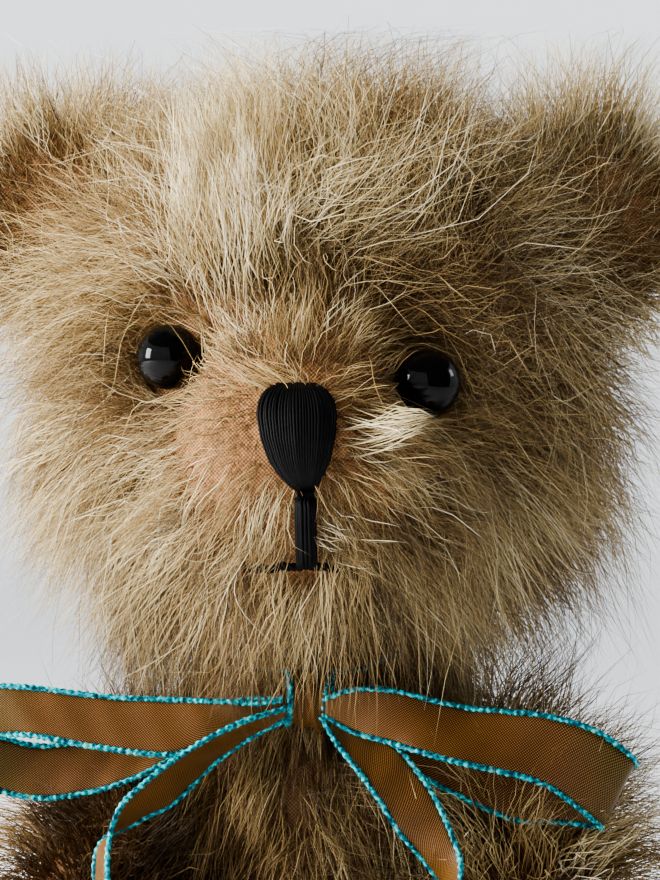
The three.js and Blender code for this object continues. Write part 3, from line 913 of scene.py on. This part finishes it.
def make_ears():
    for first_seed, (side, middle) in zip((SEEDS["ears"], SEEDS["ears"] + 2), EAR_MIDDLES.items()):
        for panel, seed in (("back", first_seed + 1), ("front", first_seed)):
            node = f"ear_{panel}_{side}"
            skin = smooth_skin(f"{node}_cloth", node, "head", BACKING, voxel=0.9, smoothing=6)
            add_fur(f"{node}_fur", skin, "head", EAR_DENSITY[panel], ear_style(middle), ear_tone(side, panel),
                    seed, keep=ear_keep(middle, panel), locks=0.06, hold=0.7, thick=(0.06, 0.1))


# ---- Body and limbs ----
BODY_TOP = 103  # the body has no pile over this height, under the head
SOLE = -81  # the legs have no pile beyond this, on the pads
PILE_UNDER = 1.1  # the flattened pile between the skins and the floor
# The left arm's pile is paler by painted light, and the right arm's darker by painted shade.
ARM_SHADING_AND_LENGTH = {"left": (0.2, 1.3), "right": (-0.3, 0.6)}  # how much paler, and how much longer by the shoulder


def combed_style(comb, length, lift=0.6, shaggy=None, longer=0):
    """Pile combed in one direction, which hangs down and stands up by lift. Near shaggy it is upright and
    longer."""
    def style(roots, normals, rng):
        along = comb - (normals @ comb)[:, None] * normals
        near = np.zeros((len(roots), 1))
        if shaggy is not None:
            near = 1 - ease(far_from(roots, shaggy), 22, 40)[:, None]
        stand = lift * normals + near * (normals + 0.9 * UP)
        first = unit(stand + 0.9 * (1 - 0.6 * near) * along + rng.normal(0, 0.38, roots.shape))
        pull = 0.2 * along - 0.35 * UP * (1 - near) + rng.normal(0, 0.25, roots.shape)
        lengths = length * (1 + longer * near[:, 0]) * rng.uniform(0.6, 1.2, len(roots))
        return first, pull, lengths, rng.uniform(0.04, 0.16, len(roots))
    return style


def rest_on_pile(skin):
    """A skin lifted off the floor by the flattened pile under it."""
    for vertex in skin.data.vertices:
        vertex.co.z = max(vertex.co.z, PILE_UNDER * MM)


def body_tone(roots):
    return 0.19 + 0.24 * patches(roots, 22, 9)


def make_body():
    skin = smooth_skin("body_skin", "body_cloth", "torso", DENSE_BACKING)
    rest_on_pile(skin)
    down = combed_style(np.array([0, -0.1, -1.0]), 11)
    for seed, (part, sign) in enumerate((("front", -1), ("back", 1)), SEEDS["body"]):
        add_fur(f"body_fur_{part}", skin, "torso", 0.95, down, body_tone, seed, segments=3, thick=COARSE,
                keep=lambda r, n: (r[:, 2] < BODY_TOP) * (r[:, 1] * sign > 0))


def make_pad(node, body, seed):
    """A felt pad with a short nap."""
    skin = smooth_skin(f"{node}_felt", node, body, FELT, voxel=0.7, smoothing=3)
    nap = loose_style((0.8, 1.7), (0.1, 0.3), 0.8, 0.3)
    add_fur(f"{node}_nap", skin, body, 2.5, nap, flat_tone(0.3), seed, segments=2, locks=0, hold=0,
            thick=(0.05, 0.09))


def limb_skin(limb, side):
    body = f"{limb}_{side}"
    return smooth_skin(f"{body}_skin", f"{limb}_cloth_{side}", body, DENSE_BACKING)


def make_limbs():
    along_leg = combed_style(np.array([0, -1.0, -0.2]), 9)
    for number, side in enumerate(SIDES):
        arm, leg = (limb_skin(limb, side) for limb in ("arm", "leg"))
        rest_on_pile(leg)
        pad = middle_of(f"paw_pad_{side}")
        off_pad = lambda r, n: ease(far_from(r, pad, (2.5, 1, 1)), 7, 9)
        paler, longer = ARM_SHADING_AND_LENGTH[side]
        along_arm = combed_style(np.array([0, -0.85, -0.5]), 10, 0.8, SHOULDERS[side], longer)
        # The arm's tone carries painted light on the left arm and painted shade on the right.
        add_fur(f"arm_{side}_fur", arm, f"arm_{side}", 1.7, along_arm, lambda r: paler + body_tone(r),
                SEEDS["arms"] + number, thick=MIDDLING, keep=off_pad)
        add_fur(f"leg_{side}_fur", leg, f"leg_{side}", 1.35, along_leg, body_tone,
                SEEDS["legs"] + number, segments=3, thick=COARSE, keep=lambda r, n: r[:, 1] > SOLE)
        make_pad(f"paw_pad_{side}", f"arm_{side}", SEEDS["paws"] + number)
        make_pad(f"foot_pad_{side}", f"leg_{side}", SEEDS["feet"] + number)


# ---- Ribbon ----
# Each stretch of ribbon is given by its two edges, as (upper, lower) points from the knot's middle.
LOOP_LEFT = [
    ((3, -5, 0.9), (3, -5, -1.8)), ((7, -5, 2.2), (7, -5.5, -4)), ((13, -5, 2.3), (13, -7, -5.5)),
    ((24, -3.5, -0.4), (22, -9.5, -7.7)), ((36, -5, -1.3), (35, -7, -11)),
    ((44, -4.5, -3.6), (40.5, -5, -14.5)), ((49, -3, -7.2), (44, -3.5, -17.6)),
    ((50.2, -1, -9), (45, -1.5, -18.8)), ((48.5, 1, -9.6), (43.8, 0.5, -18.9)),
    ((40, 2.4, -9), (38, 1, -18.3)), ((33, 2.8, -8.6), (32, 1, -18.2)), ((24, 2.8, -6), (24, 0, -14.8)),
    ((15, 2.2, -3), (15, -1, -9.8)), ((8, 1.4, -1), (8, -1, -5)), ((3, 0.6, 0), (3, -0.6, -2.2))]
LOOP_RIGHT = [
    ((-3.5, -5, 0.6), (-3.5, -5, -1.4)), ((-8, -5, 0), (-8, -5.6, -2)), ((-13, -5, 0.3), (-13, -6.2, -4.2)),
    ((-19, -4.6, 0.4), (-20, -7.4, -7.6)), ((-31, -4.4, 0.8), (-32, -6.8, -6.7)),
    ((-44, -4.4, 2.2), (-44, -6, -5)), ((-53, -3, 1.8), (-53, -3.8, -6.8)),
    ((-56, -0.6, -0.6), (-56.2, -1, -9.8)), ((-54, 1.6, -4), (-54, 1, -13)),
    ((-44, 2.8, -7.6), (-44, 1.2, -15.6)), ((-36, 3, -7), (-36, 1, -15)),
    ((-28, 3, -5.6), (-28, 0.6, -12.6)), ((-20, 2.6, -3), (-20, 0, -8.4)),
    ((-12, 1.8, -0.4), (-12, -0.6, -4)), ((-4, 0.8, 0.4), (-4, -0.4, -1.6))]
TAIL_LEFT = [
    ((2.4, -5.2, -2), (4, -5, -2.2)), ((5, -7, -5.8), (9, -4, -4)), ((8.2, -9, -9.4), (14.4, -6, -6.8)),
    ((11.4, -10.6, -13.4), (19.2, -8.6, -12.4)), ((15, -10.4, -19), (22.4, -10.4, -18.4)),
    ((20, -8, -25.6), (24.2, -13.4, -24)), ((21.6, -6.6, -32), (22, -14.4, -32)),
    ((17.6, -8, -42), (20, -15, -42)), ((11, -8.4, -52), (17, -13, -51.6)),
    ((8, -6.6, -61), (16, -9.6, -60)), ((9.4, -5, -68), (18.4, -7.6, -67))]
TAIL_RIGHT = [
    ((-3, -5.6, -0.6), (-3, -5.2, -2.4)), ((-8, -8, -2), (-7, -4, -4.4)),
    ((-14, -10, -4.6), (-12, -3.4, -7.6)), ((-19.4, -12, -8), (-16, -4.6, -11)),
    ((-24, -14, -11.6), (-20, -7, -15)), ((-27.4, -15, -15.4), (-25.6, -8, -18)),
    ((-28.6, -17.6, -22), (-31.4, -10, -22)), ((-27.4, -18.6, -31), (-30.4, -11, -33)),
    ((-21, -17, -42), (-24, -10.8, -43)), ((-13.4, -13.6, -51), (-20, -8.6, -51)),
    ((-11, -10, -60), (-19.4, -7.6, -60))]
PUSHED = {"loop_left": "arm_left_swing", "loop_right": "arm_right_swing", "tail_right": "arm_right_swing"}
RIBBON_WIDTH = 10
RIBBON_THICK = 0.16
EDGE_R = 0.45
STITCH = 1.15  # from one bulge of the corded edge to the next
COLLAR_DIP = 3  # how far the band's upper edge dips under the chin
WARPS = 26  # threads across the ribbon
WEFTS = 22  # threads in a width's length
EDGE_SHARE = 0.1  # the share of the UV's way across that each corded edge takes


def spline(rows, count):
    """count points along smooth curves through rows of points: an array of (count, *rows[0].shape)."""
    rows = np.array(rows, float)
    ends = np.concatenate([[2 * rows[0] - rows[1]], rows, [2 * rows[-1] - rows[-2]]])
    at = np.linspace(0, len(rows) - 1 - 1e-6, count)
    i = at.astype(int)
    t = (at - i).reshape(-1, *[1] * (rows.ndim - 1))
    a, b, c, d = (ends[i + k] for k in range(4))
    return b + 0.5 * t * (c - a + t * (2 * a - 5 * b + 4 * c - d + t * (3 * (b - c) + d - a)))


def ribbon_mesh(name, edges, steps=110, across=8, folds=0.0):
    """Woven ribbon between two edges, closed round its thickness, with a corded edge along each side. The
    folds that run along it are as deep as folds. Its UV holds the way across, from 0 to 1, and the way along
    in widths."""
    rows = spline(edges, steps) + KNOT
    along = unit(np.gradient(rows.mean(axis=1), axis=0))
    wide = rows[:, 1] - rows[:, 0]
    out = unit(np.cross(along, wide))
    lengths = np.concatenate([[0], np.cumsum(np.linalg.norm(np.diff(rows.mean(axis=1), axis=0), axis=1))])
    verts, uvs, faces = [], [], []
    for face in (1, -1):
        for i in range(steps):
            for k in range(across + 1):
                share = k / across
                ripple = 0.12 * math.sin(lengths[i] * 0.9 + share * 5)
                ripple += folds * math.sin(share * 17 + lengths[i] * 0.3)
                verts.append(rows[i, 0] + share * wide[i] + out[i] * (face * RIBBON_THICK / 2 + ripple))
                uvs.append((EDGE_SHARE + (1 - 2 * EDGE_SHARE) * share, lengths[i] / RIBBON_WIDTH))
    ring = across + 1
    back = steps * ring
    for i in range(steps - 1):
        for k in range(across):
            a = i * ring + k
            faces.append((a, a + 1, a + ring + 1, a + ring))
            faces.append((back + a + 1, back + a, back + a + ring, back + a + ring + 1))
        for k, flip in ((0, 1), (across, -1)):
            a = i * ring + k
            wall = (a, a + ring, back + a + ring, back + a)
            faces.append(wall[::flip])
    for i, flip in ((0, -1), (steps - 1, 1)):
        for k in range(across):
            a = i * ring + k
            faces.append((a, a + 1, back + a + 1, back + a)[::flip])
    for edge, side in ((0, 0.02), (1, 0.98)):
        add_cord(verts, uvs, faces, rows[:, edge], lengths, side, wide, out)
    mesh = mesh_of(name, verts, faces)
    corners = np.empty(len(mesh.loops), int)
    mesh.loops.foreach_get("vertex_index", corners)
    mesh.uv_layers.new(name="weave").data.foreach_set("uv", np.array(uvs)[corners].ravel())
    return mesh


def add_cord(verts, uvs, faces, line, lengths, side, wide, out):
    """The overlocked edge of the ribbon: a thread round its wire, with a bump at each stitch."""
    fine = np.linspace(0, lengths[-1], int(lengths[-1] / 0.28))
    path, aside, other = (np.stack([np.interp(fine, lengths, values[:, k]) for k in range(3)], axis=1)
                          for values in (line, unit(wide), out))
    bulges = [EDGE_R * (1 + 0.22 * math.sin(at * 2 * math.pi / STITCH)) for at in fine]
    sides = 8
    uvs.extend((side, at / RIBBON_WIDTH) for at in fine for _ in range(sides))
    add_tube(verts, faces, path, aside, other, bulges, sides)


def ribbon_material():
    """Shot organza: brown warp and gold weft, with patches of painted shade, and a twisted teal and gold
    thread along both edges that carries painted glints.
    """
    m = Nodes("shot_organza", 0.42, **{"Specular IOR Level": 0.18})
    across, along = m.uv("weave")
    warp = m.math("SINE", m.math("MULTIPLY", across, 2 * math.pi * WARPS))
    weft = m.math("SINE", m.math("MULTIPLY", along, 2 * math.pi * WEFTS))
    weave = m.math("MULTIPLY_ADD", m.math("MULTIPLY", warp, weft), 0.5, 0.5)
    aside = m.math("ABSOLUTE", m.axes(m.place())[0])
    outer = m.math("ADD", aside, m.math("MULTIPLY", m.noise(90), 0.008))
    silk = m.ramp(weave, [(0.1, srgb(24, 13, 5)), (0.55, srgb(70, 42, 17)), (0.95, srgb(176, 126, 64))])
    gold = m.ramp(weave, [(0.1, srgb(28, 20, 5)), (0.6, srgb(66, 50, 13)), (0.95, srgb(146, 120, 48))])
    shot = m.blend(m.ramp(outer, [(0.044, BLACK), (0.052, WHITE)]), silk, gold)
    # Painted shade: a darker copy of the woven silk, blended in over slow noise, stands for shade in the
    # ribbon's folds.
    painted_shade_silk = m.blend(weave, m.ramp(weave, [(0.0, srgb(12, 7, 3)), (1.0, srgb(52, 32, 12))]), shot)
    cloth = m.blend(m.ramp(m.noise(70), [(0.42, BLACK), (0.64, WHITE)]), painted_shade_silk, shot)
    twist = m.noise(1500, detail=1)
    # The edge thread's teal and gold by noise; its palest teal is a painted glint.
    teal = m.ramp(twist, [(0.3, srgb(0, 40, 48)), (0.47, srgb(0, 104, 118)), (0.6, srgb(10, 168, 178)),
                          (0.68, srgb(70, 214, 214)), (0.72, srgb(160, 130, 44))])
    edge = m.ramp(across, [(0.0, WHITE), (0.06, WHITE), (0.07, BLACK), (0.93, BLACK), (0.94, WHITE)])
    m.colour(m.blend(edge, cloth, teal))
    m.bump(m.math("ADD", m.math("MULTIPLY", weave, 0.6), m.noise(2500)), 0.45, 0.12)
    return m.material


def knot_rows():
    """The band round the knot, pinched in the middle, as its two edges."""
    rows = []
    for step in range(15):
        angle = 2 * math.pi * step / 14 + 0.8
        y, z = -3.6 * math.cos(angle), 4.1 * math.sin(angle)
        pinch = 0.9 * max(0, math.cos(angle))
        rows.append(((-3.4 + pinch, y, z + 0.5), (3.6 - pinch, y * 1.06, z - 0.4)))
    return rows


def collar_rows():
    """The band round the neck, from one side of the knot to the other, on the slope of the body's top."""
    low, high = (np.array(corner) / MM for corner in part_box("ribbon_collar"))
    middle = (low + high) / 2 - KNOT
    reach = (high - low) / 2
    rows = []
    for step in range(25):
        angle = math.radians(282 + 336 * step / 24)
        across, deep = math.cos(angle), math.sin(angle)
        top = middle[2] + reach[2] - COLLAR_DIP * ease(-deep, 0.6, 0.95)
        bottom = middle[2] - reach[2]
        upper = (middle[0] + across * (reach[0] - 3), middle[1] + deep * (reach[1] - 3.4), top)
        lower = (middle[0] + across * (reach[0] + 0.3), middle[1] + deep * (reach[1] + 0.3), bottom)
        rows.append((upper, lower))
    return rows


def make_ribbon():
    organza = ribbon_material()
    parts = {"knot": knot_rows(), "collar": collar_rows(), "loop_left": LOOP_LEFT, "loop_right": LOOP_RIGHT,
             "tail_left": TAIL_LEFT, "tail_right": TAIL_RIGHT}
    for part, edges in parts.items():
        gathered = {"across": 24, "folds": 0.34} if part == "knot" else {}
        mesh = ribbon_mesh(f"ribbon_{part}", edges, **gathered)
        piece = new_piece(f"ribbon_{part}_sheet", mesh, "torso", organza, [f"ribbon_{part}"])
        if part in PUSHED:
            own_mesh(piece)


# ---- Inside ----
def make_stuffing():
    """Loose fibre, packed into each part round its joints."""
    curls = (380, 6)
    shades = [(0.3, srgb(204, 196, 180)), (0.7, srgb(244, 240, 230))]
    fibre = noisy_material("stuffing_fibre", 1.0, curls, shades, curls, (0.8, 0.8))
    bodies = {"body_stuffing": "torso", "head_stuffing": "head"}
    for limb in ("arm", "leg"):
        bodies.update({f"{limb}_stuffing_{side}": f"{limb}_{side}" for side in SIDES})
    for node, body in bodies.items():
        fill = smooth_skin(f"{node}_fibre", node, body, fibre, 1.2, 2, filled=True)
        if body == "head":
            sink_sockets(fill, SOCKETS["stuffing"])


def finish_joints():
    """Hardboard discs, and steel washers, pins and eye loops."""
    flecks = (1400, 5)
    board = noisy_material("hardboard", 0.8, flecks, [(0.3, srgb(84, 54, 32)), (0.7, srgb(132, 92, 58))],
                           flecks, (0.3, 0.1))
    steel = plain_material("bright_steel", (0.62, 0.63, 0.65), 0.3, grain=(3000, 0.08), variation=0.06,
                           Metallic=1.0)
    for node in NODES:
        if "disc" in node:
            paint(node, board)
        elif any(word in node for word in ("washer", "pin", "eye_loop")):
            paint(node, steel)


# ---- The bear ----
make_camera()
make_studio()
BACKING = backing_material("woven_backing", [srgb(84, 54, 28), srgb(134, 94, 55), srgb(170, 128, 82)])
DENSE_BACKING = backing_material("dense_backing", [srgb(62, 40, 22), srgb(98, 66, 38), srgb(134, 98, 60)])
FUR = fur_material()
FELT = plain_material("felt", srgb(128, 84, 48), 0.95, grain=(1600, 0.7), variation=0.2)
make_head()
make_eyes()
make_nose()
make_ears()
make_body()
make_limbs()
make_ribbon()
make_stuffing()
finish_joints()
